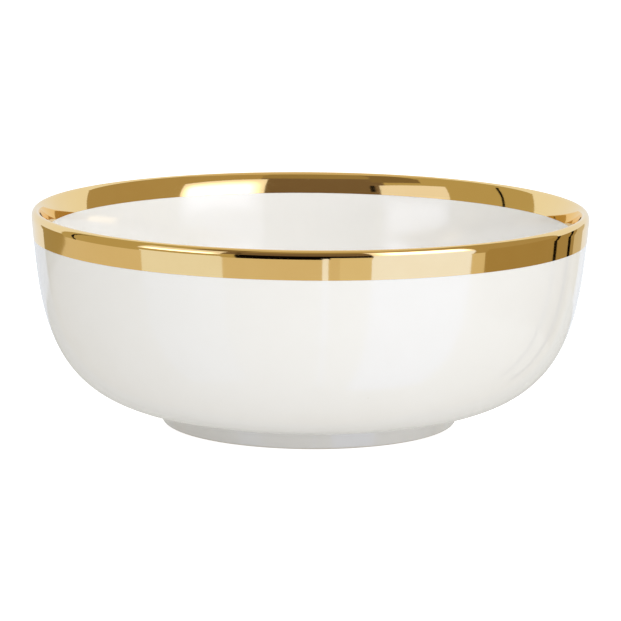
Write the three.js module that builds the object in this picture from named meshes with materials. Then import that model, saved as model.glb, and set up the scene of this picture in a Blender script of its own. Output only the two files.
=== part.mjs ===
// Porcelain serving bowl with a gilded rim, standing on a turned foot ring.
//
// Millimetres, +Z up. The origin is on the bowl's axis, in the plane that the foot stands on.
//
// Every piece is turned about the Z axis. One outline runs over the finished glaze, from the
// middle of the well under the foot, round the foot, up the wall, over the lip and down to the
// middle of the floor. The clay, its glaze and the gilding lie between that outline and copies of
// it set off along its normals, so that each coat follows what it lies on.

import * as THREE from 'three';

// ---------------------------------------------------------------- driving dimensions

// Overall sizes, over the gilding.
const RIM_DIAMETER = 260;
const HEIGHT = 100.5;

// Foot ring. Its height is where its side meets the underside of the wall.
const FOOT_DIAMETER = 138.4;
const FOOT_HEIGHT = 8.1;
const FOOT_THICKNESS = 6.6;
const FOOT_FLARE = degrees(21.5);
const FOOT_DRAFT = degrees(8);
const FOOT_OUTER_ROUND = 2.0;
const FOOT_INNER_ROUND = 1.2;
const FOOT_COVE = 1.2;
const BARE_EDGE = 0.8; // height of the unglazed edge that the bowl stands on
const WELL_DEPTH = 5.6;
const WELL_COVE = 2.0;

// Wall. It leaves the foot at the rise and reaches the lip at the lean.
const UNDERSIDE_RISE = degrees(6.1);
const UNDERSIDE_REACH = 53.2;
const WALL_LEAN = degrees(5);
const WALL_REACH = 39.1;
const WALL_THICKNESS = 7.5;
const SHOULDER_AT = 0.1; // place of the shoulder on the wall's curve, from 0 at the foot
const FLOOR_LEVEL = 12.5;

// Lip. Inside, it tapers out to the wall's thickness, from its own lean down to a depth.
const LIP_THICKNESS = 4.4;
const LIP_RISE = 3.6;
const TAPER_LEAN = degrees(26);
const TAPER_DEPTH = 32; // below the top of the bowl
const TAPER_REACH = 8;
const TAPER_END_REACH = 16;

// Coats.
const GLAZE = 0.3;
const GILDING = 0.1;
const COAT_GAP = 0.01; // between a coat and what it lies on
const OUTSIDE_BAND_DEPTH = 13.0; // below the top of the bowl
const INSIDE_BAND_DEPTH = 10.0;

// Fineness of the turned shapes.
const SEGMENTS = 48;
const COVE_STEPS = 1;
const ROUND_STEPS = 2;
const WALL_STEPS = 8;
const BAND_STEPS = 2;
const LIP_STEPS = 3;
const TAPER_STEPS = 3;
const FLOOR_STEPS = 3;
const BISECTIONS = 40;
const SAME_STATION = 0.02; // stations closer than this are one
const SNAP = 1e4; // coordinates are whole ten-thousandths of a millimetre

// Which side of an arc the air is on.
const OUTSIDE_ROUND = 1;
const COVE = -1;

// ---------------------------------------------------------------- small helpers

function degrees(angle) {
  return THREE.MathUtils.degToRad(angle);
}

function direction(angle) {
  return new THREE.Vector2(Math.cos(angle), Math.sin(angle));
}

function along(point, heading, distance) {
  return point.clone().addScaledVector(heading, distance);
}

// A station is a point of the finished outline with its normal, which points into the air.
function station(point, normal) {
  return { point, normal };
}

function stationOn(curve, t) {
  const heading = curve.getTangent(t);
  return station(curve.getPoint(t), new THREE.Vector2(heading.y, -heading.x));
}

function stationsAlong(curve, from, to, steps) {
  return evenly(from, to, steps).map((t) => stationOn(curve, t));
}

// Stations round an arc. The side is OUTSIDE_ROUND, or COVE where the air is on the centre's side.
function stationsRound(centre, radius, from, to, steps, side) {
  return evenly(from, to, steps).map((angle) => {
    const spoke = direction(angle);
    return station(along(centre, spoke, radius), spoke.multiplyScalar(side));
  });
}

function evenly(from, to, steps) {
  return Array.from({ length: steps + 1 }, (_, i) => THREE.MathUtils.lerp(from, to, i / steps));
}

// Place on a curve where it passes a height. The curve rises all the way, or falls all the way.
function placeAtHeight(curve, height) {
  const falling = curve.getPoint(1).y < curve.getPoint(0).y;
  let low = 0;
  let high = 1;
  for (let i = 0; i < BISECTIONS; i += 1) {
    const middle = (low + high) / 2;
    const above = curve.getPoint(middle).y > height;
    if (above === falling) low = middle;
    else high = middle;
  }
  return (low + high) / 2;
}

// The finished outline, as named stretches that follow each other.
class Outline {
  constructor() {
    this.stations = [];
    this.stretches = new Map();
  }

  // Adds a stretch. It shares the station where it meets the stretch before.
  add(name, stations) {
    const last = this.stations.at(-1);
    const meets = last && last.point.distanceTo(stations[0].point) < SAME_STATION;
    const first = this.stations.length - (meets ? 1 : 0);
    this.stations.push(...stations.slice(meets ? 1 : 0));
    this.stretches.set(name, [first, this.stations.length]);
  }

  // Points from the start of one stretch to the end of another, set off by a depth under the
  // finished surface, or above it where the depth is negative.
  points(from, to, depth) {
    const first = this.stretches.get(from)[0];
    const end = this.stretches.get(to)[1];
    return this.stations.slice(first, end).map(({ point, normal }) => along(point, normal, -depth));
  }

  // Profile of a coat of glaze, whose face is the finished surface. It starts at its lower side.
  glaze(from, to) {
    return this.points(from, to, GLAZE).reverse().concat(this.points(from, to, 0));
  }

  // Profile of the gilding on the glaze.
  gilding(from, to) {
    return this.points(from, to, -COAT_GAP).reverse().concat(this.points(from, to, -GILDING));
  }

  // Points of the clay under the glaze.
  clay(from, to) {
    return this.points(from, to, GLAZE + COAT_GAP);
  }
}

// ---------------------------------------------------------------- curves of the wall

// Centre of the foot's outer round.
function footRoundCentre() {
  return new THREE.Vector2(FOOT_DIAMETER / 2 - FOOT_OUTER_ROUND, FOOT_OUTER_ROUND);
}

// Where the foot's side would meet the underside of the wall, if no cove joined them.
function footCorner() {
  const tangentPoint = along(footRoundCentre(), direction(-FOOT_FLARE), FOOT_OUTER_ROUND);
  const rise = FOOT_HEIGHT - tangentPoint.y;
  return along(tangentPoint, direction(Math.PI / 2 - FOOT_FLARE), rise / Math.cos(FOOT_FLARE));
}

// Outside of the wall, from the foot to the lip.
function outsideWall() {
  const halfLip = LIP_THICKNESS / 2;
  const lipReach = Math.hypot(halfLip * Math.cos(WALL_LEAN), LIP_RISE * Math.sin(WALL_LEAN));
  const lipTop = Math.hypot(LIP_RISE * Math.cos(WALL_LEAN), halfLip * Math.sin(WALL_LEAN));
  const rimRadius = RIM_DIAMETER / 2;
  const lipCentre = new THREE.Vector2(rimRadius - GILDING - lipReach, HEIGHT - GILDING - lipTop);
  const top = along(lipCentre, direction(-WALL_LEAN), halfLip);
  const corner = footCorner();
  return new THREE.CubicBezierCurve(
    corner,
    along(corner, direction(UNDERSIDE_RISE), UNDERSIDE_REACH),
    along(top, direction(-Math.PI / 2 - WALL_LEAN), WALL_REACH),
    top,
  );
}

// Rounded top of the wall: half an ellipse across it, leaning as the wall leans.
class Lip extends THREE.Curve {
  constructor(wallTop) {
    super();
    this.centre = along(wallTop, direction(Math.PI - WALL_LEAN), LIP_THICKNESS / 2);
  }

  getPoint(t, target = new THREE.Vector2()) {
    const outward = (LIP_THICKNESS / 2) * Math.cos(Math.PI * t);
    const upward = LIP_RISE * Math.sin(Math.PI * t);
    const across = along(this.centre, direction(-WALL_LEAN), outward);
    return target.copy(along(across, direction(Math.PI / 2 - WALL_LEAN), upward));
  }
}

// Place on the lip where its inside leans as the taper does.
function lipEnd() {
  const slope = Math.tan(TAPER_LEAN - WALL_LEAN) * (LIP_RISE / (LIP_THICKNESS / 2));
  return 1 - Math.atan(slope) / Math.PI;
}

// Inside of the wall at its full thickness, down to the shoulder, where the floor begins.
class InsideWall extends THREE.Curve {
  constructor(outside) {
    super();
    this.outside = outside;
  }

  getPoint(t, target = new THREE.Vector2()) {
    const outer = stationOn(this.outside, THREE.MathUtils.lerp(1, SHOULDER_AT, t));
    return target.copy(along(outer.point, outer.normal, -WALL_THICKNESS));
  }
}

// Taper inside the lip, down to a place on the inside of the wall.
function insideTaper(lip, wall, wallTop) {
  const start = lip.getPoint(lipEnd());
  const end = wall.getPoint(wallTop);
  return new THREE.CubicBezierCurve(
    start,
    along(start, direction(-Math.PI / 2 - TAPER_LEAN), TAPER_REACH),
    along(end, wall.getTangent(wallTop), -TAPER_END_REACH),
    end,
  );
}

// Floor, from the shoulder to the middle, where it lies level.
function insideFloor(wall) {
  const shoulder = wall.getPoint(1);
  const heading = wall.getTangent(1);
  const level = along(shoulder, heading, (FLOOR_LEVEL - shoulder.y) / heading.y);
  return new THREE.CubicBezierCurve(
    shoulder,
    level,
    new THREE.Vector2(level.x / 2, FLOOR_LEVEL),
    new THREE.Vector2(0, FLOOR_LEVEL),
  );
}

// ---------------------------------------------------------------- finished outline

// A cove in the corner between two straight lines, in two halves that meet at its middle. The
// outline turns right there, from one heading to the next.
function addCove(outline, names, corner, headingIn, headingOut, radius) {
  const middle = (headingIn + headingOut) / 2;
  const reach = radius / Math.cos((headingIn - headingOut) / 2);
  const centre = along(corner, direction(middle - Math.PI / 2), reach);
  const quarter = Math.PI / 2;
  const half = (from, to) =>
    stationsRound(centre, radius, from + quarter, to + quarter, COVE_STEPS, COVE);
  outline.add(names[0], half(headingIn, middle));
  outline.add(names[1], half(middle, headingOut));
}

function addWell(outline) {
  const down = direction(-Math.PI / 2);
  const sideHeading = FOOT_DRAFT - Math.PI / 2;
  const innerRadius = FOOT_DIAMETER / 2 - FOOT_THICKNESS;
  const centre = new THREE.Vector2(innerRadius + FOOT_INNER_ROUND, FOOT_INNER_ROUND);
  const sideEnd = along(centre, direction(Math.PI + FOOT_DRAFT), FOOT_INNER_ROUND);
  const climb = (WELL_DEPTH - sideEnd.y) / Math.cos(FOOT_DRAFT);
  const corner = along(sideEnd, direction(sideHeading), -climb);
  const bare = Math.PI + Math.asin(1 - BARE_EDGE / FOOT_INNER_ROUND);

  outline.add('well', [station(new THREE.Vector2(0, WELL_DEPTH), down)]);
  addCove(outline, ['wellCoveTop', 'wellCoveSide'], corner, 0, sideHeading, WELL_COVE);
  outline.add(
    'innerGlazed',
    stationsRound(centre, FOOT_INNER_ROUND, Math.PI + FOOT_DRAFT, bare, 1, OUTSIDE_ROUND),
  );
  outline.add(
    'innerBare',
    stationsRound(centre, FOOT_INNER_ROUND, bare, 1.5 * Math.PI, ROUND_STEPS, OUTSIDE_ROUND),
  );
}

function addFootOutside(outline) {
  const centre = footRoundCentre();
  const bare = -Math.asin(1 - BARE_EDGE / FOOT_OUTER_ROUND);
  const sideHeading = Math.PI / 2 - FOOT_FLARE;

  outline.add(
    'outerBare',
    stationsRound(centre, FOOT_OUTER_ROUND, -Math.PI / 2, bare, ROUND_STEPS, OUTSIDE_ROUND),
  );
  outline.add(
    'outerGlazed',
    stationsRound(centre, FOOT_OUTER_ROUND, bare, -FOOT_FLARE, 1, OUTSIDE_ROUND),
  );
  addCove(
    outline,
    ['footCoveSide', 'footCoveTop'],
    footCorner(),
    sideHeading,
    UNDERSIDE_RISE,
    FOOT_COVE,
  );
}

function addWall(outline) {
  const outside = outsideWall();
  const lip = new Lip(outside.getPoint(1));
  const inside = new InsideWall(outside);
  const wallTop = placeAtHeight(inside, HEIGHT - TAPER_DEPTH);
  const taper = insideTaper(lip, inside, wallTop);
  const outsideBand = placeAtHeight(outside, HEIGHT - OUTSIDE_BAND_DEPTH);
  const insideBand = placeAtHeight(taper, HEIGHT - INSIDE_BAND_DEPTH);
  // The wall's curve leaves its start at three times its handle's length for each unit of place.
  const coveEnd = outline.stations.at(-1).point.distanceTo(outside.getPoint(0));
  const wallStart = coveEnd / (3 * UNDERSIDE_REACH);

  outline.add('outsideWall', stationsAlong(outside, wallStart, outsideBand, WALL_STEPS));
  outline.add('outsideBand', stationsAlong(outside, outsideBand, 1, BAND_STEPS));
  outline.add('outsideLip', stationsAlong(lip, 0, 0.5, LIP_STEPS));
  outline.add('insideLip', stationsAlong(lip, 0.5, lipEnd(), LIP_STEPS));
  outline.add('insideBand', stationsAlong(taper, 0, insideBand, BAND_STEPS));
  outline.add('insideTaper', stationsAlong(taper, insideBand, 1, TAPER_STEPS));
  outline.add('insideWall', stationsAlong(inside, wallTop, 1, WALL_STEPS));
  outline.add('floor', stationsAlong(insideFloor(inside), 0, 1, FLOOR_STEPS));
}

function finishedOutline() {
  const outline = new Outline();
  addWell(outline);
  addFootOutside(outline);
  addWall(outline);
  return outline;
}

// ---------------------------------------------------------------- materials

function bisque() {
  return new THREE.MeshStandardMaterial({ color: 0xe9e5dc, roughness: 0.75, metalness: 0 });
}

function glaze() {
  return new THREE.MeshStandardMaterial({ color: 0xf3f1ec, roughness: 0.12, metalness: 0 });
}

function gold() {
  return new THREE.MeshStandardMaterial({ color: 0xd6b270, roughness: 0.16, metalness: 1 });
}

// ---------------------------------------------------------------- pieces

// A solid turned from a profile that runs anticlockwise, with the axis on its left. A profile
// that doesn't start on the axis is closed.
function turned(name, profile, material) {
  const points = profile.map(
    ({ x, y }) => new THREE.Vector2(Math.round(x * SNAP) / SNAP, Math.round(y * SNAP) / SNAP),
  );
  if (points[0].x > 0) points.push(points[0].clone());
  const geometry = new THREE.LatheGeometry(points, SEGMENTS);
  geometry.rotateX(Math.PI / 2);
  const mesh = new THREE.Mesh(geometry, material);
  mesh.name = name;
  return mesh;
}

// The thrown clay of wall and floor. Its underside is cut across where the foot is joined on.
function clayBody(outline) {
  const well = outline.clay('well', 'wellCoveTop');
  return turned('clay_body', well.concat(outline.clay('footCoveTop', 'floor')), bisque());
}

// The foot ring stands on its bare edge. Above that its clay lies under the glaze, and its top
// meets the clay of the body.
function footRing(outline) {
  const edge = outline.points('innerBare', 'outerBare', 0);
  const outerSide = outline.clay('outerGlazed', 'footCoveSide');
  const innerSide = outline.clay('wellCoveSide', 'innerGlazed');
  outerSide.at(-1).y -= COAT_GAP;
  innerSide[0].y -= COAT_GAP;
  return turned('foot_ring', edge.concat(outerSide, innerSide), bisque());
}

// The glaze under the foot starts its profile on the axis, at the well's face.
function footWellGlaze(outline) {
  const face = outline.points('well', 'innerGlazed', 0);
  const back = outline.points('well', 'innerGlazed', GLAZE).reverse();
  return turned('foot_well_glaze', face.concat(back), glaze());
}

const outline = finishedOutline();
const bowl = new THREE.Group();
bowl.name = 'serving_bowl';
bowl.add(
  clayBody(outline),
  footRing(outline),
  footWellGlaze(outline),
  turned('outside_glaze', outline.glaze('outerGlazed', 'outsideLip'), glaze()),
  turned('inside_glaze', outline.glaze('insideLip', 'floor'), glaze()),
  turned('outside_gold_band', outline.gilding('outsideBand', 'outsideBand'), gold()),
  turned('lip_gold', outline.gilding('outsideLip', 'insideLip'), gold()),
  turned('inside_gold_band', outline.gilding('insideBand', 'insideBand'), gold()),
);

export default bowl;
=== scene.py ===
"""Porcelain serving bowl with a gilded rim: its fine turned pieces, its finishes and a studio.

Metres, +Z up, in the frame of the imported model. Every piece of the bowl is turned about the Z
axis from one outline, which runs over the finished glaze from the middle of the well under the
foot, round the foot, up the wall, over the lip and down to the middle of the floor.
"""

import logging
import math
from dataclasses import dataclass, field
from enum import Enum
from typing import Callable, ClassVar, Sequence

import bpy
from mathutils import Matrix, Vector


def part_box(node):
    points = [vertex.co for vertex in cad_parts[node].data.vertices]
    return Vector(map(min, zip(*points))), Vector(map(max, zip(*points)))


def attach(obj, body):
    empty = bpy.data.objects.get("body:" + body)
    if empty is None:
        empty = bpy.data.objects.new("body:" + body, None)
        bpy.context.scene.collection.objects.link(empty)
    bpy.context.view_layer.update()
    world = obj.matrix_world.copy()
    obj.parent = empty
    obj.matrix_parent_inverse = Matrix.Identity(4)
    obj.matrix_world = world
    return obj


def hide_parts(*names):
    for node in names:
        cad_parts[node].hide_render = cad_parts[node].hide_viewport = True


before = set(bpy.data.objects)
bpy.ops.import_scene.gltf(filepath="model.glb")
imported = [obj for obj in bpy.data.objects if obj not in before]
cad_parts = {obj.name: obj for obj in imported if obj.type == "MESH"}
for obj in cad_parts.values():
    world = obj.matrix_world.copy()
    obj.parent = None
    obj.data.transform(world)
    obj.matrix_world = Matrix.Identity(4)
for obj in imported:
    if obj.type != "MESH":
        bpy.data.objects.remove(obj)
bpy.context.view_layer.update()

LOG = logging.getLogger("serving_bowl")
MM = 0.001
QUARTER = math.pi / 2
Colour = tuple[float, float, float]


# ---------------------------------------------------------------------------- profile geometry


@dataclass(frozen=True)
class Station:
    """A point of the finished outline and its normal, which points into the air."""

    point: Vector
    normal: Vector

    def set_off(self, depth: float) -> Vector:
        """Return the point at a depth under the finished surface, or above it if negative."""
        return self.point - self.normal * depth


def direction(angle: float) -> Vector:
    """Return the unit vector at an angle from the horizontal, in the profile's plane."""
    return Vector((math.cos(angle), math.sin(angle)))


def evenly(start: float, end: float, steps: int) -> list[float]:
    """Return steps + 1 values from start to end."""
    return [start + (end - start) * i / steps for i in range(steps + 1)]


class Curve:
    """A curve of the profile, from t = 0 to t = 1."""

    STEP = 1e-4
    HALVINGS = 40

    def point(self, t: float) -> Vector:
        """Return the point at t."""
        raise NotImplementedError

    def heading(self, t: float) -> Vector:
        """Return the unit tangent.

        Args:
            t: the place on the curve.

        Returns:
            The tangent, towards larger t.
        """
        before = self.point(max(t - self.STEP, 0.0))
        after = self.point(min(t + self.STEP, 1.0))
        return (after - before).normalized()

    def station(self, t: float) -> Station:
        """Return the station at t, with the air on the right of the heading."""
        heading = self.heading(t)
        return Station(self.point(t), Vector((heading.y, -heading.x)))

    def stations(self, start: float, end: float, steps: int) -> list[Station]:
        """Return stations spread evenly from start to end."""
        return [self.station(t) for t in evenly(start, end, steps)]

    def place_at_height(self, height: float) -> float:
        """Find where a curve that only rises, or only falls, passes a height.

        Args:
            height: the height to find, in metres.

        Returns:
            The place t on the curve.
        """
        falling = self.point(1.0).y < self.point(0.0).y
        low, high = 0.0, 1.0
        for _ in range(self.HALVINGS):
            middle = (low + high) / 2
            if (self.point(middle).y > height) == falling:
                low = middle
            else:
                high = middle
        return (low + high) / 2


class Sweep(Curve):
    """A cubic curve with two handles."""

    def __init__(self, start: Vector, leave: Vector, arrive: Vector, end: Vector) -> None:
        """Keep the two ends and the two handles."""
        self.ends = (start, leave, arrive, end)

    def point(self, t: float) -> Vector:
        """Return a point of the curve.

        Args:
            t: the place on the curve.

        Returns:
            The point.
        """
        a, b, c, d = self.ends
        s = 1.0 - t
        return a * s**3 + b * (3 * s * s * t) + c * (3 * s * t * t) + d * t**3


class Arc(Curve):
    """A round or a cove about a centre."""

    def __init__(self, centre: Vector, radius: float, start: float, end: float) -> None:
        """Keep the centre, the radius and the two angles."""
        self.centre, self.radius, self.start, self.end = centre, radius, start, end

    def point(self, t: float) -> Vector:
        """Return the point at t."""
        return self.centre + direction(self.start + (self.end - self.start) * t) * self.radius


@dataclass
class BowlShape:
    """Sizes of the bowl, in metres and radians, as in the solid model."""

    rim_diameter: float
    height: float
    foot_diameter: float = 138.4 * MM
    foot_height: float = 8.1 * MM
    foot_thickness: float = 6.6 * MM
    foot_flare: float = math.radians(21.5)
    foot_draft: float = math.radians(8)
    foot_outer_round: float = 2.0 * MM
    foot_inner_round: float = 1.2 * MM
    foot_cove: float = 1.2 * MM
    bare_edge: float = 0.8 * MM
    well_depth: float = 5.6 * MM
    well_cove: float = 2.0 * MM
    underside_rise: float = math.radians(6.1)
    underside_reach: float = 53.2 * MM
    wall_lean: float = math.radians(5)
    wall_reach: float = 39.1 * MM
    wall_thickness: float = 7.5 * MM
    shoulder_at: float = 0.1
    floor_level: float = 12.5 * MM
    lip_thickness: float = 4.4 * MM
    lip_rise: float = 3.6 * MM
    taper_lean: float = math.radians(26)
    taper_depth: float = 32 * MM
    taper_reach: float = 8 * MM
    taper_end_reach: float = 16 * MM
    glaze: float = 0.3 * MM
    gilding: float = 0.1 * MM
    coat_gap: float = 0.01 * MM
    outside_band_foot: float = 0.0
    inside_band_foot: float = 0.0

    @classmethod
    def from_frame(cls) -> "BowlShape":
        """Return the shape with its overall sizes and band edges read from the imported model.

        Returns:
            The sizes.
        """
        low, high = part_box("lip_gold")
        return cls(
            rim_diameter=high[0] - low[0],
            height=high[2],
            outside_band_foot=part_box("outside_gold_band")[0][2],
            inside_band_foot=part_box("inside_gold_band")[0][2],
        )

    def foot_round_centre(self) -> Vector:
        """Return the centre of the foot's outer round."""
        return Vector((self.foot_diameter / 2 - self.foot_outer_round, self.foot_outer_round))

    def foot_corner(self) -> Vector:
        """Find where the foot's side would meet the underside if no cove joined them.

        Returns:
            The corner.
        """
        tangent = self.foot_round_centre() + direction(-self.foot_flare) * self.foot_outer_round
        rise = self.foot_height - tangent.y
        return tangent + direction(QUARTER - self.foot_flare) * (rise / math.cos(self.foot_flare))

    def outside_wall(self) -> Sweep:
        """Lay out the outside of the wall.

        Returns:
            Its curve, from the foot to the lip.
        """
        half_lip = self.lip_thickness / 2
        sine, cosine = math.sin(self.wall_lean), math.cos(self.wall_lean)
        reach = math.hypot(half_lip * cosine, self.lip_rise * sine)
        top = math.hypot(self.lip_rise * cosine, half_lip * sine)
        centre = Vector((self.rim_diameter / 2, self.height))
        centre -= Vector((self.gilding + reach, self.gilding + top))
        end = centre + direction(-self.wall_lean) * half_lip
        corner = self.foot_corner()
        return Sweep(
            corner,
            corner + direction(self.underside_rise) * self.underside_reach,
            end + direction(-QUARTER - self.wall_lean) * self.wall_reach,
            end,
        )


class LipCurve(Curve):
    """Rounded top of the wall: half an ellipse across it, leaning as the wall leans.

    The taper inside takes over at inner_end, where the lip leans as the taper does.
    """

    def __init__(self, shape: BowlShape, wall_top: Vector) -> None:
        """Keep the centre and the sizes of the ellipse.

        Args:
            shape: the bowl's sizes.
            wall_top: where the outside of the wall meets the lip.
        """
        self.half = shape.lip_thickness / 2
        self.rise = shape.lip_rise
        self.lean = shape.wall_lean
        self.centre = wall_top + direction(math.pi - self.lean) * self.half
        slope = math.tan(shape.taper_lean - self.lean) * self.rise / self.half
        self.inner_end = 1.0 - math.atan(slope) / math.pi

    def point(self, t: float) -> Vector:
        """Return a point of the lip.

        Args:
            t: the place on it, from the outside to the inside.

        Returns:
            The point.
        """
        outward = direction(-self.lean) * (self.half * math.cos(math.pi * t))
        upward = direction(QUARTER - self.lean) * (self.rise * math.sin(math.pi * t))
        return self.centre + outward + upward


class InsideWallCurve(Curve):
    """Inside of the wall at full thickness, down to the shoulder, where the floor begins."""

    def __init__(self, shape: BowlShape, outside: Curve) -> None:
        """Keep the outside of the wall and the shape."""
        self.shape, self.outside = shape, outside

    def point(self, t: float) -> Vector:
        """Return the point at t."""
        outer = self.outside.station(1.0 + (self.shape.shoulder_at - 1.0) * t)
        return outer.set_off(self.shape.wall_thickness)


class Outline:
    """The finished outline, as named stretches that follow each other."""

    SAME_STATION = 0.02 * MM
    STEPS = {
        "well": 10,
        "well_cove_top": 5,
        "well_cove_side": 5,
        "inner_glazed": 3,
        "inner_bare": 6,
        "outer_bare": 8,
        "outer_glazed": 4,
        "foot_cove_side": 5,
        "foot_cove_top": 5,
        "outside_wall": 44,
        "outside_band": 8,
        "outside_lip": 14,
        "inside_lip": 14,
        "inside_band": 14,
        "inside_taper": 24,
        "inside_wall": 32,
        "floor": 20,
    }

    def __init__(self, shape: BowlShape) -> None:
        """Lay out the whole outline.

        Args:
            shape: the bowl's sizes.
        """
        self.shape = shape
        self.stations: list[Station] = []
        self.stretches: dict[str, tuple[int, int]] = {}
        self._add_well()
        self._add_foot_outside()
        self._add_wall()

    def _add(self, name: str, curve: Curve, start: float = 0.0, end: float = 1.0) -> None:
        """Add a stretch, which shares the station where it meets the stretch before.

        Args:
            name: what the stretch is called.
            curve: the curve that it follows.
            start: the place on the curve where it starts.
            end: the place on the curve where it ends.
        """
        stations = curve.stations(start, end, self.STEPS[name])
        meets = False
        if self.stations:
            gap = (self.stations[-1].point - stations[0].point).length
            meets = gap < self.SAME_STATION
        first = len(self.stations) - int(meets)
        self.stations.extend(stations[int(meets):])
        self.stretches[name] = (first, len(self.stations))

    def _add_cove(
        self, names: Sequence[str], corner: Vector, into: float, out: float, radius: float
    ) -> None:
        """Add a cove in two halves, where the outline turns right in a corner.

        Args:
            names: names of the two halves.
            corner: where the straight lines before and after would meet.
            into: heading before the corner.
            out: heading after the corner.
            radius: radius of the cove.
        """
        middle = (into + out) / 2
        reach = radius / math.cos((into - out) / 2)
        centre = corner + direction(middle - QUARTER) * reach
        for name, start, end in ((names[0], into, middle), (names[1], middle, out)):
            self._add(name, Arc(centre, radius, start + QUARTER, end + QUARTER))

    def _add_well(self) -> None:
        """Add the well under the foot and the inner side of the foot ring."""
        s = self.shape
        side = s.foot_draft - QUARTER
        inner = s.foot_diameter / 2 - s.foot_thickness
        centre = Vector((inner + s.foot_inner_round, s.foot_inner_round))
        side_end = centre + direction(math.pi + s.foot_draft) * s.foot_inner_round
        climb = (s.well_depth - side_end.y) / math.cos(s.foot_draft)
        corner = side_end - direction(side) * climb
        bare = math.pi + math.asin(1 - s.bare_edge / s.foot_inner_round)
        # The well's ceiling is level, and stops short of the corner to leave room for the cove.
        reaches = (0.0, 0.3, 0.6, 0.9)
        ceiling = Sweep(*(Vector((corner.x * reach, s.well_depth)) for reach in reaches))
        self._add("well", ceiling)
        self._add_cove(("well_cove_top", "well_cove_side"), corner, 0.0, side, s.well_cove)
        self._add("inner_glazed", Arc(centre, s.foot_inner_round, math.pi + s.foot_draft, bare))
        self._add("inner_bare", Arc(centre, s.foot_inner_round, bare, 3 * QUARTER))

    def _add_foot_outside(self) -> None:
        """Add the outside of the foot ring, from the edge that it stands on."""
        s = self.shape
        centre = s.foot_round_centre()
        bare = -math.asin(1 - s.bare_edge / s.foot_outer_round)
        self._add("outer_bare", Arc(centre, s.foot_outer_round, -QUARTER, bare))
        self._add("outer_glazed", Arc(centre, s.foot_outer_round, bare, -s.foot_flare))
        names = ("foot_cove_side", "foot_cove_top")
        self._add_cove(names, s.foot_corner(), QUARTER - s.foot_flare, s.underside_rise, s.foot_cove)

    def _add_wall(self) -> None:
        """Add the wall outside, the lip, the wall inside and the floor."""
        s = self.shape
        outside = s.outside_wall()
        lip = LipCurve(s, outside.point(1.0))
        inside = InsideWallCurve(s, outside)
        wall_top = inside.place_at_height(s.height - s.taper_depth)
        taper = self._taper(lip, inside, wall_top)
        # The wall's curve leaves its start at three times its handle's length per unit of t.
        cove_end = (self.stations[-1].point - outside.point(0.0)).length
        start = cove_end / (3 * s.underside_reach)
        outside_band = outside.place_at_height(s.outside_band_foot)
        inside_band = taper.place_at_height(s.inside_band_foot)
        shoulder, heading = inside.point(1.0), inside.heading(1.0)
        level = shoulder + heading * ((s.floor_level - shoulder.y) / heading.y)
        middle = Vector((0.0, s.floor_level))
        floor = Sweep(shoulder, level, Vector((level.x / 2, s.floor_level)), middle)
        self._add("outside_wall", outside, start, outside_band)
        self._add("outside_band", outside, outside_band, 1)
        self._add("outside_lip", lip, 0, 0.5)
        self._add("inside_lip", lip, 0.5, lip.inner_end)
        self._add("inside_band", taper, 0, inside_band)
        self._add("inside_taper", taper, inside_band, 1)
        self._add("inside_wall", inside, wall_top, 1)
        self._add("floor", floor)

    def _taper(self, lip: LipCurve, wall: InsideWallCurve, wall_top: float) -> Sweep:
        """Return the taper inside the lip.

        Args:
            lip: the lip, which the taper leaves at its inner end.
            wall: the inside of the wall.
            wall_top: the place on it where the taper ends.

        Returns:
            The taper's curve.
        """
        s = self.shape
        start, end = lip.point(lip.inner_end), wall.point(wall_top)
        leave = start + direction(-QUARTER - s.taper_lean) * s.taper_reach
        return Sweep(start, leave, end - wall.heading(wall_top) * s.taper_end_reach, end)

    def points(self, first: str, last: str, depth: float) -> list[Vector]:
        """Return the points from one stretch to another, set off from the finished surface.

        Args:
            first: the stretch to start with.
            last: the stretch to end with.
            depth: how far under the surface, or above it if negative.

        Returns:
            The points, in order.
        """
        start, end = self.stretches[first][0], self.stretches[last][1]
        return [station.set_off(depth) for station in self.stations[start:end]]

    def coat(self, first: str, last: str, top: float, bottom: float) -> list[Vector]:
        """Return the profile of a coat between two depths, starting at its lower face."""
        return self.points(first, last, bottom)[::-1] + self.points(first, last, top)


# ---------------------------------------------------------------------------- turned meshes

ON_AXIS = 1e-7
SHARP_FROM = math.radians(40)


def turned_mesh(name: str, profile: Sequence[Vector], segments: int) -> bpy.types.Mesh:
    """Turn a profile about the Z axis into one closed mesh.

    Args:
        name: name of the mesh.
        profile: points that run anticlockwise, with the axis on their left. A profile that
            doesn't start on the axis is closed.
        segments: number of sides round the axis.

    Returns:
        The mesh, with smooth faces and sharp corners.
    """
    points = [p for i, p in enumerate(profile) if i == 0 or (p - profile[i - 1]).length > ON_AXIS]
    if points[0].x > ON_AXIS:
        points.append(points[0])
    vertices: list[tuple[float, float, float]] = []
    rings: list[list[int]] = []
    for i, point in enumerate(points):
        if point.x <= ON_AXIS:
            rings.append([len(vertices)])
            vertices.append((0.0, 0.0, point.y))
        elif i == len(points) - 1 and points[0].x > ON_AXIS:
            rings.append(rings[0])
        else:
            rings.append(list(range(len(vertices), len(vertices) + segments)))
            for k in range(segments):
                turn = 2 * math.pi * k / segments
                vertices.append((point.x * math.cos(turn), point.x * math.sin(turn), point.y))
    faces: list[tuple[int, ...]] = []
    for lower, upper in zip(rings[:-1], rings[1:]):
        for k in range(segments):
            n = (k + 1) % segments
            if len(lower) == 1 and len(upper) == 1:
                continue
            if len(lower) == 1:
                faces.append((lower[0], upper[n], upper[k]))
            elif len(upper) == 1:
                faces.append((lower[k], lower[n], upper[0]))
            else:
                faces.append((lower[k], lower[n], upper[n], upper[k]))
    mesh = bpy.data.meshes.new(name)
    mesh.from_pydata(vertices, [], faces)
    mesh.shade_smooth()
    mesh.set_sharp_from_angle(angle=SHARP_FROM)
    mesh.validate()
    return mesh


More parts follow.
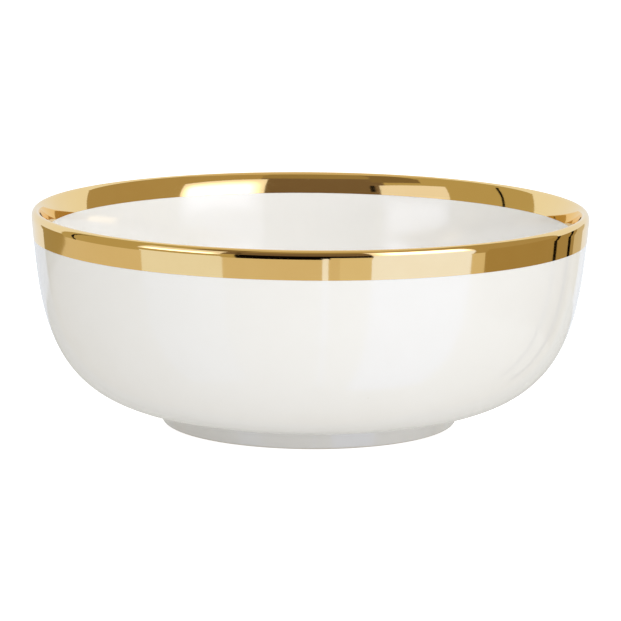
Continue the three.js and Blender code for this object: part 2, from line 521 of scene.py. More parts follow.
def new_object(name: str, mesh: bpy.types.Mesh) -> bpy.types.Object:
    """Put a mesh in the scene, at the origin.

    Args:
        name: name of the object.
        mesh: its mesh.

    Returns:
        The object.
    """
    made = bpy.data.objects.new(name, mesh)
    bpy.context.scene.collection.objects.link(made)
    return made


# ---------------------------------------------------------------------------- shader helpers

FLOAT, COLOUR = "NodeSocketFloat", "NodeSocketColor"


class Graph:
    """Adds nodes to a node tree and joins them."""

    def __init__(self, tree: bpy.types.NodeTree) -> None:
        """Keep the tree."""
        self.tree = tree

    def add(self, kind: str, **values: object) -> bpy.types.Node:
        """Add a node.

        Args:
            kind: the node's type.
            values: its settings, or input values under the input's name with _ for spaces.

        Returns:
            The node.
        """
        node = self.tree.nodes.new(kind)
        for key, value in values.items():
            name = key.replace("_", " ")
            if name in node.inputs:
                self.join(value, node.inputs[name])
            else:
                setattr(node, key, value)
        return node

    def join(self, value: object, socket: bpy.types.NodeSocket) -> None:
        """Link an output to a socket, or set the socket to a constant.

        Args:
            value: the output or the constant.
            socket: the input that takes it.
        """
        if isinstance(value, bpy.types.NodeSocket):
            self.tree.links.new(value, socket)
        else:
            socket.default_value = value

    def math(self, operation: str, first: object, second: object = 0.0) -> bpy.types.NodeSocket:
        """Work out a sum.

        Args:
            operation: the Math node's operation.
            first: an output or a number.
            second: another, for the operations that take two.

        Returns:
            The result.
        """
        node = self.tree.nodes.new("ShaderNodeMath")
        node.operation = operation
        self.join(first, node.inputs[0])
        self.join(second, node.inputs[1])
        return node.outputs[0]

    def spread(
        self, value: object, low: float, high: float, to_low: float = 0.0, to_high: float = 1.0
    ) -> bpy.types.NodeSocket:
        """Map a value smoothly and within limits from one range to another.

        Args:
            value: an output or a number.
            low: the value that gives to_low.
            high: the value that gives to_high.
            to_low: the result at and below low.
            to_high: the result at and above high.

        Returns:
            The result.
        """
        node = self.add("ShaderNodeMapRange", interpolation_type="SMOOTHSTEP", clamp=True)
        for name, item in (
            ("Value", value),
            ("From Min", low),
            ("From Max", high),
            ("To Min", to_low),
            ("To Max", to_high),
        ):
            self.join(item, node.inputs[name])
        return node.outputs["Result"]

    def mix(self, factor: object, first: object, second: object) -> bpy.types.NodeSocket:
        """Mix two colours.

        Args:
            factor: 0 for the first colour alone and 1 for the second.
            first: an output or a colour.
            second: another.

        Returns:
            The mix.
        """
        node = self.tree.nodes.new("ShaderNodeMix")
        node.data_type = "RGBA"
        self.join(factor, node.inputs[0])
        self.join(first, node.inputs[6])
        self.join(second, node.inputs[7])
        return node.outputs[2]

    def noise(self, vector: object, scale: object, detail: float = 2.0) -> bpy.types.NodeSocket:
        """Return the value of a noise over a vector."""
        node = self.add("ShaderNodeTexNoise", Vector=vector, Scale=scale, Detail=detail)
        return node.outputs["Fac"]

    def blend(self, factor: object, first: object, second: object) -> bpy.types.NodeSocket:
        """Mix two shaders.

        Args:
            factor: 0 for the first shader alone and 1 for the second.
            first: a shader's output.
            second: another.

        Returns:
            The mixed shader's output.
        """
        node = self.tree.nodes.new("ShaderNodeMixShader")
        self.join(factor, node.inputs[0])
        self.join(first, node.inputs[1])
        self.join(second, node.inputs[2])
        return node.outputs[0]

    def group(self, tree: bpy.types.NodeTree, **values: object) -> bpy.types.Node:
        """Add a node that holds a group.

        Args:
            tree: the group.
            values: input values under the input's name with _ for spaces.

        Returns:
            The node.
        """
        node = self.tree.nodes.new("ShaderNodeGroup")
        node.node_tree = tree
        for key, value in values.items():
            self.join(value, node.inputs[key.replace("_", " ")])
        return node


def rgba(colour: Colour) -> tuple[float, float, float, float]:
    """Return a colour with full alpha."""
    return (*colour, 1.0)


class Effect(Enum):
    """Surface effects that more than one finish uses, each one node group."""

    FIRING_TONE = "firing_tone"
    GLAZE_RIPPLE = "glaze_ripple"
    HANDLING = "handling_marks"
    SPECKS = "clay_specks"

    def tree(self) -> bpy.types.NodeTree:
        """Find the effect's node group, which is made the first time that it is asked for.

        Returns:
            The group.
        """
        found = bpy.data.node_groups.get(self.value)
        if found:
            return found
        makers: dict[Effect, Callable[[bpy.types.NodeTree], None]] = {
            Effect.FIRING_TONE: make_firing_tone,
            Effect.GLAZE_RIPPLE: make_glaze_ripple,
            Effect.HANDLING: make_handling_marks,
            Effect.SPECKS: make_clay_specks,
        }
        tree = bpy.data.node_groups.new(self.value, "ShaderNodeTree")
        makers[self](tree)
        return tree


def sockets(tree: bpy.types.NodeTree, inputs: dict[str, str], outputs: dict[str, str]) -> tuple:
    """Give a group its sockets.

    Args:
        tree: the group.
        inputs: input names with their socket types.
        outputs: output names with their socket types.

    Returns:
        The graph, the outputs of the group's input node, and the inputs of its output node.
    """
    for names, side in ((inputs, "INPUT"), (outputs, "OUTPUT")):
        for name, kind in names.items():
            tree.interface.new_socket(name=name, in_out=side, socket_type=kind)
    graph = Graph(tree)
    return graph, graph.add("NodeGroupInput").outputs, graph.add("NodeGroupOutput").inputs


def make_firing_tone(tree: bpy.types.NodeTree) -> None:
    """Fill a group that shifts a colour slightly in broad soft clouds, as a kiln does.

    Args:
        tree: the empty group.
    """
    graph, given, out = sockets(
        tree, {"Colour": COLOUR, "Shade": COLOUR, "Amount": FLOAT}, {"Colour": COLOUR}
    )
    place = graph.add("ShaderNodeTexCoord").outputs["Object"]
    broad_share, fine_share = 0.7, 0.3
    broad = graph.math("MULTIPLY", graph.noise(place, scale=14.0), broad_share)
    fine = graph.math("MULTIPLY", graph.noise(place, scale=90.0, detail=3.0), fine_share)
    cloud = graph.spread(graph.math("ADD", broad, fine), low=0.35, high=0.65)
    factor = graph.math("MULTIPLY", cloud, given["Amount"])
    graph.join(graph.mix(factor, given["Colour"], given["Shade"]), out["Colour"])


def make_glaze_ripple(tree: bpy.types.NodeTree) -> None:
    """Fill a group with the height of the glaze's slow swells, fine peel and throwing rings.

    Args:
        tree: the empty group.
    """
    graph, given, out = sockets(
        tree, {"Swell": FLOAT, "Peel": FLOAT, "Throwing": FLOAT}, {"Height": FLOAT}
    )
    place = graph.add("ShaderNodeTexCoord").outputs["Object"]
    ring_pitch = 9 * MM
    swell = graph.math("MULTIPLY", graph.noise(place, scale=60.0, detail=1.0), given["Swell"])
    peel = graph.math("MULTIPLY", graph.noise(place, scale=650.0), given["Peel"])
    height = graph.add("ShaderNodeSeparateXYZ", Vector=place).outputs["Z"]
    rings = graph.math("SINE", graph.math("MULTIPLY", height, 2 * math.pi / ring_pitch))
    thrown = graph.math("MULTIPLY", rings, given["Throwing"])
    graph.join(graph.math("ADD", graph.math("ADD", swell, peel), thrown), out["Height"])


def make_handling_marks(tree: bpy.types.NodeTree) -> None:
    """Fill a group that raises roughness in faint smears and fine wiping marks.

    Args:
        tree: the empty group.
    """
    graph, given, out = sockets(
        tree, {"Roughness": FLOAT, "Amount": FLOAT}, {"Roughness": FLOAT}
    )
    place = graph.add("ShaderNodeTexCoord").outputs["Object"]
    smears = graph.spread(graph.noise(place, scale=35.0, detail=4.0), low=0.45, high=0.75)
    fine = graph.spread(graph.noise(place, scale=420.0, detail=3.0), low=0.4, high=0.8, to_high=0.5)
    marks = graph.math("MULTIPLY", graph.math("ADD", smears, fine), given["Amount"])
    graph.join(graph.math("ADD", given["Roughness"], marks), out["Roughness"])


def make_clay_specks(tree: bpy.types.NodeTree) -> None:
    """Fill a group that puts a few tiny darker specks of iron in a colour.

    Args:
        tree: the empty group.
    """
    graph, given, out = sockets(
        tree, {"Colour": COLOUR, "Speck": COLOUR, "Size": FLOAT}, {"Colour": COLOUR}
    )
    place = graph.add("ShaderNodeTexCoord").outputs["Object"]
    cells = graph.add("ShaderNodeTexVoronoi", Vector=place, Scale=75.0, Randomness=1.0)
    chance = graph.add("ShaderNodeSeparateColor", Color=cells.outputs["Color"]).outputs[0]
    clean_share = 0.93
    rare = graph.math("GREATER_THAN", chance, clean_share)
    near = graph.math("LESS_THAN", cells.outputs["Distance"], given["Size"])
    mask = graph.math("MULTIPLY", rare, near)
    graph.join(graph.mix(mask, given["Colour"], given["Speck"]), out["Colour"])


# ---------------------------------------------------------------------------- finishes


@dataclass(frozen=True)
class Finish:
    """What every finish of the bowl has: a name, a record slot, a colour and a roughness."""

    name: str
    slot: str
    colour: Colour
    shade: Colour
    roughness: float

    def start(self) -> tuple[bpy.types.Material, Graph, bpy.types.Node]:
        """Start a material.

        Returns:
            The material, its graph and its shader.
        """
        material = bpy.data.materials.new(self.name)
        material.use_nodes = True
        material.node_tree.nodes.clear()
        graph = Graph(material.node_tree)
        shader = graph.add("ShaderNodeBsdfPrincipled")
        output = graph.add("ShaderNodeOutputMaterial")
        graph.join(shader.outputs["BSDF"], output.inputs["Surface"])
        return material, graph, shader

    def tone(self, graph: Graph, amount: float) -> bpy.types.NodeSocket:
        """Cloud the finish's colour as the kiln does.

        Args:
            graph: the material's graph.
            amount: how far the clouds reach towards the shade, from 0 to 1.

        Returns:
            The clouded colour.
        """
        node = graph.group(
            Effect.FIRING_TONE.tree(),
            Colour=rgba(self.colour),
            Shade=rgba(self.shade),
            Amount=amount,
        )
        return node.outputs["Colour"]

    def bump(self, graph: Graph, height: object, distance: float) -> bpy.types.NodeSocket:
        """Return a normal raised by a height, in metres at full height."""
        node = graph.add("ShaderNodeBump", Height=height, Distance=distance, Strength=1.0)
        return node.outputs["Normal"]

    def make(self) -> bpy.types.Material:
        """Return the material."""
        raise NotImplementedError


@dataclass(frozen=True)
class FiredFinish(Finish):
    """A finish that lies on the slight ripples of a fired glaze."""

    swell: float = 0.8
    peel: float = 0.05
    throwing: float = 0.04
    ripple_height: float = 0.02 * MM

    def ripples(self, graph: Graph) -> bpy.types.NodeSocket:
        """Lay the ripples.

        Args:
            graph: the material's graph.

        Returns:
            Their height, as a share of the ripple height.
        """
        ripple = graph.group(
            Effect.GLAZE_RIPPLE.tree(), Swell=self.swell, Peel=self.peel, Throwing=self.throwing
        )
        return ripple.outputs["Height"]


@dataclass(frozen=True)
class GlazedPorcelain(FiredFinish):
    """White porcelain under a clear, even, glossy glaze."""

    cloudiness: float = 0.5
    speck_colour: Colour = (0.55, 0.5, 0.44)
    speck_size: float = 0.016
    handling: float = 0.02
    ior: float = 1.52

    def make(self) -> bpy.types.Material:
        """Make the material.

        Returns:
            The material.
        """
        material, graph, shader = self.start()
        specks = graph.group(
            Effect.SPECKS.tree(),
            Colour=self.tone(graph, self.cloudiness),
            Speck=rgba(self.speck_colour),
            Size=self.speck_size,
        )
        marks = graph.group(Effect.HANDLING.tree(), Roughness=self.roughness, Amount=self.handling)
        normal = self.bump(graph, self.ripples(graph), self.ripple_height)
        graph.join(specks.outputs["Colour"], shader.inputs["Base Color"])
        graph.join(marks.outputs["Roughness"], shader.inputs["Roughness"])
        graph.join(normal, shader.inputs["Normal"])
        shader.inputs["IOR"].default_value = self.ior
        return material


@dataclass(frozen=True)
class Gilding(FiredFinish):
    """Bright gold fired on the glaze, laid with a soft brush while the bowl turned."""

    cloudiness: float = 0.6
    handling: float = 0.025
    brush_scale: tuple[float, float, float] = (12.0, 12.0, 1800.0)
    brush_depth: float = 0.012

    def make(self) -> bpy.types.Material:
        """Make the material.

        Returns:
            The material.
        """
        material, graph, shader = self.start()
        marks = graph.group(Effect.HANDLING.tree(), Roughness=self.roughness, Amount=self.handling)
        height = graph.math("ADD", self.ripples(graph), self.brush_lines(graph))
        graph.join(self.tone(graph, self.cloudiness), shader.inputs["Base Color"])
        graph.join(marks.outputs["Roughness"], shader.inputs["Roughness"])
        graph.join(self.bump(graph, height, self.ripple_height), shader.inputs["Normal"])
        shader.inputs["Metallic"].default_value = 1.0
        return material

    def brush_lines(self, graph: Graph) -> bpy.types.NodeSocket:
        """Lay the fine lines that the brush leaves round the bowl.

        Args:
            graph: the material's graph.

        Returns:
            Their height.
        """
        place = graph.add("ShaderNodeTexCoord").outputs["Object"]
        stretch = graph.add("ShaderNodeVectorMath", operation="MULTIPLY")
        graph.join(place, stretch.inputs[0])
        stretch.inputs[1].default_value = self.brush_scale
        return graph.math("MULTIPLY", graph.noise(stretch.outputs[0], scale=1.0), self.brush_depth)


@dataclass(frozen=True)
class Bisque(Finish):
    """Bare fired porcelain, dry and finely grained."""

    cloudiness: float = 0.8
    speck_colour: Colour = (0.42, 0.36, 0.3)
    speck_size: float = 0.03
    grain_scale: float = 2600.0
    grain_height: float = 0.03 * MM

    def make(self) -> bpy.types.Material:
        """Make the material.

        Returns:
            The material.
        """
        material, graph, shader = self.start()
        specks = graph.group(
            Effect.SPECKS.tree(),
            Colour=self.tone(graph, self.cloudiness),
            Speck=rgba(self.speck_colour),
            Size=self.speck_size,
        )
        place = graph.add("ShaderNodeTexCoord").outputs["Object"]
        grain = graph.noise(place, self.grain_scale, detail=3.0)
        graph.join(specks.outputs["Colour"], shader.inputs["Base Color"])
        graph.join(self.bump(graph, grain, self.grain_height), shader.inputs["Normal"])
        shader.inputs["Roughness"].default_value = self.roughness
        return material


@dataclass(frozen=True)
class Finishes:
    """The three finishes of the bowl."""

    glaze: GlazedPorcelain = GlazedPorcelain(
        name="glazed_porcelain",
        slot="clear_glaze",
        colour=(0.86, 0.853, 0.835),
        shade=(0.84, 0.829, 0.8),
        roughness=0.07,
    )
    gold: Gilding = Gilding(
        name="bright_gold",
        slot="gilding",
        colour=(1.0, 0.73, 0.33),
        shade=(0.96, 0.68, 0.29),
        roughness=0.04,
    )
    bisque: Bisque = Bisque(
        name="bare_porcelain",
        slot="bisque",
        colour=(0.78, 0.75, 0.7),
        shade=(0.72, 0.68, 0.62),
        roughness=0.7,
    )


# ---------------------------------------------------------------------------- the bowl


@dataclass
class TurnedPiece:
    """One piece of the bowl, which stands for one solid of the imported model."""

    node: str
    profile: list[Vector]
    finish: Finish
    segments: int = 384

    def build(self, materials: dict[str, bpy.types.Material]) -> bpy.types.Object:
        """Args:
            materials: the finished materials, by name.

        Returns:
            The piece's object.
        """
        name = f"{self.node}_fine"
        piece = new_object(name, turned_mesh(name, self.profile, self.segments))
        piece.data.materials.append(materials[self.finish.name])
        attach(piece, "root")
        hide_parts(self.node)
        LOG.info("%s: %d faces", name, len(piece.data.polygons))
        return piece


@dataclass
class PorcelainParts:
    """The clay of the bowl and the glaze on it."""

    outline: Outline
    finishes: Finishes
    hidden_segments: int = 192

    def pieces(self) -> list[TurnedPiece]:
        """Lay out the pieces.

        Returns:
            The clay body, the foot ring and the three coats of glaze.
        """
        line, glaze, bare = self.outline, self.finishes.glaze, self.finishes.bisque
        thickness = line.shape.glaze
        return [
            TurnedPiece("clay_body", self.body_profile(), bare, segments=self.hidden_segments),
            TurnedPiece("foot_ring", self.foot_profile(), bare),
            TurnedPiece("foot_well_glaze", self.well_profile(), glaze),
            TurnedPiece("outside_glaze", line.coat("outer_glazed", "outside_lip", 0, thickness), glaze),
            TurnedPiece("inside_glaze", line.coat("inside_lip", "floor", 0, thickness), glaze),
        ]

    def body_profile(self) -> list[Vector]:
        """Lay out the clay body.

        Returns:
            Its profile, cut across where the foot is joined on.
        """
        depth = self.outline.shape.glaze + self.outline.shape.coat_gap
        well = self.outline.points("well", "well_cove_top", depth)
        return well + self.outline.points("foot_cove_top", "floor", depth)

    def foot_profile(self) -> list[Vector]:
        """Lay out the foot ring.

        Returns:
            Its profile, bare on the edge that it stands on.
        """
        shape = self.outline.shape
        depth = shape.glaze + shape.coat_gap
        outer = self.outline.points("outer_glazed", "foot_cove_side", depth)
        inner = self.outline.points("well_cove_side", "inner_glazed", depth)
        outer[-1].y -= shape.coat_gap
        inner[0].y -= shape.coat_gap
        return self.outline.points("inner_bare", "outer_bare", 0) + outer + inner

    def well_profile(self) -> list[Vector]:
        """Return the profile of the glaze in the well, which starts at its face on the axis."""
        face = self.outline.points("well", "inner_glazed", 0)
        return face + self.outline.points("well", "inner_glazed", self.outline.shape.glaze)[::-1]


@dataclass
class GildedRim:
    """The gold on the rim: a band outside, the lip, and a band inside."""

    outline: Outline
    finishes: Finishes

    def pieces(self) -> list[TurnedPiece]:
        """Lay out the gold.

        Returns:
            Its three runs.
        """
        runs = {
            "outside_gold_band": ("outside_band", "outside_band"),
            "lip_gold": ("outside_lip", "inside_lip"),
            "inside_gold_band": ("inside_band", "inside_band"),
        }
        shape = self.outline.shape
        return [
            TurnedPiece(
                node,
                self.outline.coat(first, last, -shape.gilding, -shape.coat_gap),
                self.finishes.gold,
            )
            for node, (first, last) in runs.items()
        ]


# ---------------------------------------------------------------------------- the studio


BLACK: Colour = (0.003, 0.002, 0.001)
TABLE_TOP: Colour = (0.65, 0.59, 0.465)
PALE: Colour = (0.83, 0.87, 0.94)
DIM: Colour = (0.37, 0.3, 0.145)
WHITE: Colour = (1.0, 1.0, 1.0)


def direction_of(azimuth: float, elevation: float) -> Vector:
    """Return the direction at an azimuth and an elevation in degrees.

    Args:
        azimuth: degrees from the camera's side of the bowl towards the right.
        elevation: degrees from the level.

    Returns:
        The direction, of length 1.
    """
    a, e = math.radians(azimuth), math.radians(elevation)
    return Vector((math.cos(e) * math.sin(a), -math.cos(e) * math.cos(a), math.sin(e)))


def fade(value: float, start: float, end: float) -> float:
    """Return 0 before the start, 1 after the end, and a smooth rise between."""
    t = min(max((value - start) / (end - start), 0.0), 1.0)
    return t * t * (3 - 2 * t)


class Sees(Enum):
    """Which rays meet a piece of the studio."""

    ONLY_REFLECTIONS = "only reflections"
    ALL_BUT_REFLECTIONS = "all but reflections"

    def apply(self, thing: bpy.types.Object) -> None:
        """Set the rays that meet a studio object.

        Args:
            thing: the object.
        """
        reflections = self is Sees.ONLY_REFLECTIONS
        thing.visible_camera = not reflections
        thing.visible_diffuse = not reflections
        thing.visible_shadow = not reflections
        thing.visible_transmission = not reflections
        thing.visible_glossy = reflections


@dataclass(frozen=True)
class GlowingSheet:
    """A sheet of the studio that shows only as a reflection in the gold and the glaze.

    Both functions take the place on the sheet, u across and v up, each from 0 to 1. One gives
    the point there, and the other the red, green and blue light that the sheet sends.
    """

    name: str
    place: Callable[[float, float], Vector]
    glow: Callable[[float, float], Colour]
    columns: int = 32
    rows: int = 24
    LIGHT: ClassVar[str] = "light"
    MATERIAL: ClassVar[str] = "studio_sheet"

    def build(self) -> bpy.types.Object:
        """Build the sheet, which only reflections see.

        Returns:
            The sheet's object.
        """
        grid = [(u, v) for v in evenly(0, 1, self.rows) for u in evenly(0, 1, self.columns)]
        mesh = bpy.data.meshes.new(self.name)
        mesh.from_pydata([self.place(u, v) for u, v in grid], [], self.faces())
        light = mesh.attributes.new(self.LIGHT, "FLOAT_VECTOR", "POINT")
        for item, (u, v) in zip(light.data, grid):
            item.vector = self.glow(u, v)
        mesh.materials.append(self.material())
        sheet = new_object(self.name, mesh)
        Sees.ONLY_REFLECTIONS.apply(sheet)
        return sheet

    def faces(self) -> list[tuple[int, int, int, int]]:
        """List the sheet's faces.

        Returns:
            The four corners of each face, row by row.
        """
        width = self.columns + 1
        corners = [j * width + i for j in range(self.rows) for i in range(self.columns)]
        return [(c, c + 1, c + width + 1, c + width) for c in corners]

    def material(self) -> bpy.types.Material:
        """Find the material of all sheets, which is made for the first of them.

        Returns:
            The material, which glows as the mesh says.
        """
        found = bpy.data.materials.get(self.MATERIAL)
        if found:
            return found
        material = bpy.data.materials.new(self.MATERIAL)
        material.use_nodes = True
        material.node_tree.nodes.clear()
        graph = Graph(material.node_tree)
        light = graph.add("ShaderNodeAttribute", attribute_name=self.LIGHT)
        glow = graph.add("ShaderNodeEmission", Color=light.outputs["Vector"], Strength=1.0)
        output = graph.add("ShaderNodeOutputMaterial")
        graph.join(glow.outputs["Emission"], output.inputs["Surface"])
        material.cycles.emission_sampling = "NONE"
        return material


@dataclass(frozen=True)
class WallPatch:
    """Part of the walls, the ceiling or the table's far end, between two directions.

    Azimuth is in degrees from the camera's side of the bowl towards the right, and elevation in
    degrees from the level. Patches on a higher layer stand in front of the others.
    """

    name: str
    azimuth: tuple[float, float]
    elevation: tuple[float, float]
    colour: Colour
    layer: int = 0
    DISTANCE: ClassVar[float] = 9.0
    LAYER_GAP: ClassVar[float] = 0.2

    def build(self) -> None:
        """Build the patch."""
        GlowingSheet(self.name, self.place, lambda u, v: self.colour).build()

    def place(self, u: float, v: float) -> Vector:
        """Find a point of the patch.

        Args:
            u: the place across it.
            v: the place up it.

        Returns:
            The point.
        """
        azimuth = self.azimuth[0] + (self.azimuth[1] - self.azimuth[0]) * u
        elevation = self.elevation[0] + (self.elevation[1] - self.elevation[0]) * v
        return direction_of(azimuth, elevation) * (self.DISTANCE - self.LAYER_GAP * self.layer)


@dataclass(frozen=True)
class SoftBox:
    """A soft box beside the table, brighter inside than at its borders.

    A paler glowing sheet under the table's level is a painted reflection of the box in the slightly
    glossy table.
    """

    name: str
    start: tuple[float, float]
    end: tuple[float, float]
    bottom: float
    top: float
    core: float
    border: float
    image: Colour
    image_top: float
    image_depth: float = 1.6
    side_fade: float = 0.2
    bottom_fade: float = 0.16
    top_fade: tuple[float, float] = (0.03, 0.45)
    tint: Colour = (1.0, 1.02, 1.18)

    def build(self) -> None:
        """Build the box and its image in the table."""
        GlowingSheet(self.name, self.place, self.glow).build()
        # a paler glowing sheet under the table's level: a painted reflection of the box in the table
        image_name = f"{self.name}_in_table"
        GlowingSheet(image_name, self.image_place, lambda u, v: self.image).build()

    def upright(self, u: float, height: float) -> Vector:
        """Find a point in the box's upright plane.

        Args:
            u: the place across it.
            height: the height, in metres.

        Returns:
            The point.
        """
        start, end = Vector(self.start), Vector(self.end)
        level = start + (end - start) * u
        return Vector((level.x, level.y, height))

    def place(self, u: float, v: float) -> Vector:
        """Return a point of the box."""
        return self.upright(u, self.bottom + (self.top - self.bottom) * v)

    def image_place(self, u: float, v: float) -> Vector:
        """Return a point of the box's image in the table."""
        return self.upright(u, self.image_top - self.image_depth * (1 - v))

    def glow(self, u: float, v: float) -> Colour:
        """Work out the light that the box sends.

        Args:
            u: the place across it.
            v: the place up it.

        Returns:
            The red, green and blue light.
        """
        side = fade(u, 0.0, self.side_fade) * fade(1 - u, 0.0, self.side_fade)
        height = fade(v, 0.0, self.bottom_fade) * fade(1 - v, *self.top_fade)
        light = self.border + (self.core - self.border) * side * height
        return tuple(light * share for share in self.tint)


@dataclass(frozen=True)
class Stand:
    """A thin black stand beside the table, as a strip that faces the bowl."""

    name: str
    foot: tuple[float, float]
    width: float
    bottom: float
    top: float

    def build(self) -> None:
        """Build the stand."""
        GlowingSheet(self.name, self.place, lambda u, v: BLACK).build()

    def place(self, u: float, v: float) -> Vector:
        """Find a point of the stand.

        Args:
            u: the place across it.
            v: the place up it.

        Returns:
            The point.
        """
        foot = Vector(self.foot)
        side = Vector((-foot.y, foot.x)).normalized() * (self.width / 2)
        level = foot + side * (2 * u - 1)
        return Vector((level.x, level.y, self.bottom + (self.top - self.bottom) * v))


@dataclass(frozen=True)
class Surroundings:
    """What stands round the table: soft boxes, pale and dim walls, and black stands."""

    patches: tuple[WallPatch, ...] = (
        WallPatch("table_far", (-180, 180), (-89, -14), TABLE_TOP),
        WallPatch("table_edge", (8, 25), (-14.5, -3), TABLE_TOP, 1),
        WallPatch("table_left", (-141, -73), (-20, -12.6), TABLE_TOP, 1),
        WallPatch("table_right", (12, 26), (-60, -9), (0.7, 0.66, 0.55), 2),
        WallPatch("back_low_right", (76, 139), (-22, 3), (0.36, 0.275, 0.125), 1),
        WallPatch("back_low_right_pale", (139, 151), (-22, 3), (0.6, 0.53, 0.38), 1),
        WallPatch("back_under", (143, 217), (-60, -13), (0.62, 0.61, 0.56), 3),
        WallPatch("back_left", (-180, -120), (-3, 62), PALE, 1),
        WallPatch("back_right", (120, 180), (3, 62), PALE, 1),
        WallPatch("back_low_right_end", (151, 180), (-13.2, 3.5), PALE, 2),
        WallPatch("back_low_left_end", (-180, -143), (-13.2, -2.5), PALE, 2),
        WallPatch("side_left", (-120, -30), (-14, 62), (0.46, 0.39, 0.21)),
        WallPatch("side_right", (25, 120), (-14, 62), (0.4, 0.32, 0.17)),
        WallPatch("front_low", (-30, 25), (-15, 12), BLACK),
        WallPatch("front_high", (-36, 25), (12, 40), (0.17, 0.125, 0.085), 1),
        WallPatch("front_high_left", (-56, -30), (35, 62), (0.2, 0.15, 0.08), 2),
        WallPatch("front_top", (-36, 25), (40, 62), (0.3, 0.24, 0.12), 1),
        WallPatch("ceiling", (-180, 180), (62, 89.9), (0.62, 0.54, 0.4)),
        WallPatch("table_streak", (5, 7.5), (-60, -9), (0.89, 1.02, 1.5), 3),
        WallPatch("camera", (-31, -28.5), (22, 30), BLACK, 2),
    )
    boxes: tuple[SoftBox, ...] = (
        SoftBox(
            name="soft_box_right",
            start=(0.322, -0.75),
            end=(1.035, -0.464),
            bottom=0.2,
            top=0.82,
            core=3.3,
            border=0.95,
            image=(0.9, 1.05, 1.6),
            image_top=0.2,
        ),
        SoftBox(
            name="soft_box_left",
            start=(-1.3, -0.47),
            end=(-0.775, -1.13),
            bottom=0.16,
            top=0.94,
            core=2.9,
            border=0.85,
            image=(0.8, 0.87, 1.03),
            image_top=-0.12,
            top_fade=(0.5, 0.85),
        ),
    )
    stands: tuple[Stand, ...] = (
        Stand("stand_left", foot=(-0.8, 0.205), width=0.026, bottom=-0.08, top=0.6),
        Stand("stand_right", foot=(0.62, 0.24), width=0.03, bottom=-0.5, top=0.13),
        Stand("stand_right_back", foot=(0.6, 0.42), width=0.036, bottom=-0.5, top=0.13),
    )

    def build(self) -> None:
        """Build everything that stands round the table."""
        for thing in (*self.patches, *self.boxes, *self.stands):
            thing.build()


@dataclass(frozen=True)
class SoftLight:
    """A wide soft light in the tent, strongest in one direction.

    It fades out to nothing where the cosine of the angle from its middle falls to its edge.
    """

    azimuth: float
    elevation: float
    strength: float
    edge: float


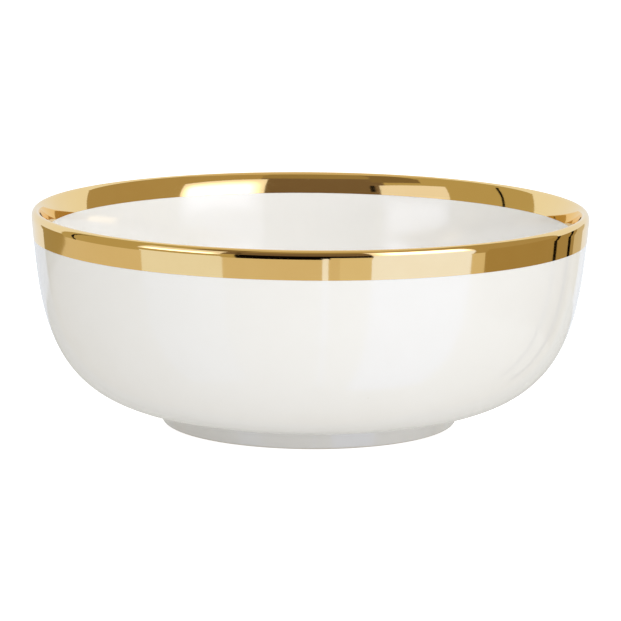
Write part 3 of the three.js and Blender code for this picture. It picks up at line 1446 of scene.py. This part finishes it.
@dataclass
class Studio:
    """A white table in soft light, and what the gold and the glaze reflect."""

    look_at: Vector = field(default_factory=lambda: Vector((0.0004, 0.0, 0.0519)))
    camera_distance: float = 1.5805
    camera_elevation: float = math.radians(9.913)
    camera_roll: float = math.radians(-0.476)
    lens: float = 195.23
    sensor: float = 36.0
    nearest: float = 0.01
    furthest: float = 100.0
    lights: tuple[SoftLight, ...] = (
        SoftLight(azimuth=0.0, elevation=90.0, strength=0.34, edge=0.0),
        SoftLight(azimuth=74.0, elevation=6.0, strength=0.44, edge=0.0),
        SoftLight(azimuth=8.0, elevation=58.0, strength=1.1, edge=0.3),
    )
    light_everywhere: float = 0.23
    light_colour: Colour = (1.0, 1.0, 0.995)
    table_half: float = 12.0
    table_level: float = -0.0001
    table_colour: Colour = (0.64, 0.635, 0.625)
    table_glow: float = 0.28
    table_glow_seen: float = 0.85
    surroundings: Surroundings = Surroundings()

    def build(self) -> None:
        """Build the camera, the table, the soft light and the surroundings."""
        self.add_camera()
        self.add_table()
        self.add_light()
        self.surroundings.build()

    def add_camera(self) -> bpy.types.Object:
        """Add the camera and make it the scene's.

        Returns:
            The camera.
        """
        lift, turn = self.camera_elevation, self.camera_roll
        towards = Vector((0.0, math.cos(lift), -math.sin(lift)))
        right, up = Vector((1.0, 0.0, 0.0)), Vector((0.0, math.sin(lift), math.cos(lift)))
        rolled_right = right * math.cos(turn) - up * math.sin(turn)
        rolled_up = up * math.cos(turn) + right * math.sin(turn)
        data = bpy.data.cameras.new("camera")
        data.lens, data.sensor_width = self.lens, self.sensor
        data.clip_start, data.clip_end = self.nearest, self.furthest
        camera = bpy.data.objects.new("camera", data)
        matrix = Matrix((rolled_right, rolled_up, -towards)).transposed().to_4x4()
        matrix.translation = self.look_at - towards * self.camera_distance
        camera.matrix_world = matrix
        bpy.context.scene.collection.objects.link(camera)
        bpy.context.scene.camera = camera
        return camera

    def add_table(self) -> bpy.types.Object:
        """Add the white table that the bowl stands on.

        Returns:
            The table.
        """
        half, level = self.table_half, self.table_level
        signs = ((-1, -1), (1, -1), (1, 1), (-1, 1))
        mesh = bpy.data.meshes.new("table")
        mesh.from_pydata([(half * x, half * y, level) for x, y in signs], [], [(0, 1, 2, 3)])
        mesh.materials.append(self.table_material())
        table = new_object("table", mesh)
        Sees.ALL_BUT_REFLECTIONS.apply(table)
        return table

    def table_material(self) -> bpy.types.Material:
        """Make the table's material, a glowing white that is clear from below.

        Returns:
            The material.
        """
        material = bpy.data.materials.new("table_white")
        material.use_nodes = True
        material.node_tree.nodes.clear()
        graph = Graph(material.node_tree)
        seen = graph.add("ShaderNodeLightPath").outputs["Is Camera Ray"]
        surface = graph.add("ShaderNodeBsdfDiffuse", Color=rgba(self.table_colour))
        strength = graph.spread(
            seen, low=0.0, high=1.0, to_low=self.table_glow, to_high=self.table_glow_seen
        )
        glow = graph.add("ShaderNodeEmission", Color=rgba(WHITE), Strength=strength)
        lit = graph.add("ShaderNodeAddShader")
        graph.join(surface.outputs[0], lit.inputs[0])
        graph.join(glow.outputs[0], lit.inputs[1])
        below = graph.add("ShaderNodeNewGeometry").outputs["Backfacing"]
        clear = graph.add("ShaderNodeBsdfTransparent")
        one_sided = graph.blend(below, lit.outputs[0], clear.outputs[0])
        output = graph.add("ShaderNodeOutputMaterial")
        graph.join(one_sided, output.inputs["Surface"])
        return material

    def add_light(self) -> None:
        """Light the studio as a white tent does, more strongly from some directions.

        The camera sees plain white behind the table. Reflections see a dim room where none of
        the surroundings stand.
        """
        world = bpy.data.worlds.new("studio")
        world.use_nodes = True
        world.node_tree.nodes.clear()
        graph = Graph(world.node_tree)
        path = graph.add("ShaderNodeLightPath")
        sight = graph.add("ShaderNodeTexCoord").outputs["Generated"]
        strength: object = self.light_everywhere
        for light in self.lights:
            towards = graph.add("ShaderNodeVectorMath", operation="DOT_PRODUCT")
            graph.join(sight, towards.inputs[0])
            towards.inputs[1].default_value = direction_of(light.azimuth, light.elevation)
            lobe = graph.spread(
                towards.outputs["Value"], low=light.edge, high=1.0, to_high=light.strength
            )
            strength = graph.math("ADD", strength, lobe)
        tent = graph.add("ShaderNodeBackground", Color=rgba(self.light_colour), Strength=strength)
        white = graph.add("ShaderNodeBackground", Color=rgba(WHITE), Strength=1.0)
        room = graph.add("ShaderNodeBackground", Color=rgba(DIM), Strength=1.0)
        seen = graph.blend(path.outputs["Is Camera Ray"], tent.outputs[0], white.outputs[0])
        chosen = graph.blend(path.outputs["Is Glossy Ray"], seen, room.outputs[0])
        output = graph.add("ShaderNodeOutputWorld")
        graph.join(chosen, output.inputs["Surface"])
        bpy.context.scene.world = world


def main() -> None:
    """Build the studio and the bowl, and report each piece."""
    logging.basicConfig(level=logging.INFO, format="%(name)s: %(message)s")
    bpy.context.scene.view_settings.view_transform = "Standard"
    Studio().build()
    finishes = Finishes()
    materials = {f.name: f.make() for f in (finishes.glaze, finishes.gold, finishes.bisque)}
    outline = Outline(BowlShape.from_frame())
    for part in (PorcelainParts(outline, finishes), GildedRim(outline, finishes)):
        for piece in part.pieces():
            piece.build(materials)
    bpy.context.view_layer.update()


if __name__ == "__main__":
    main()
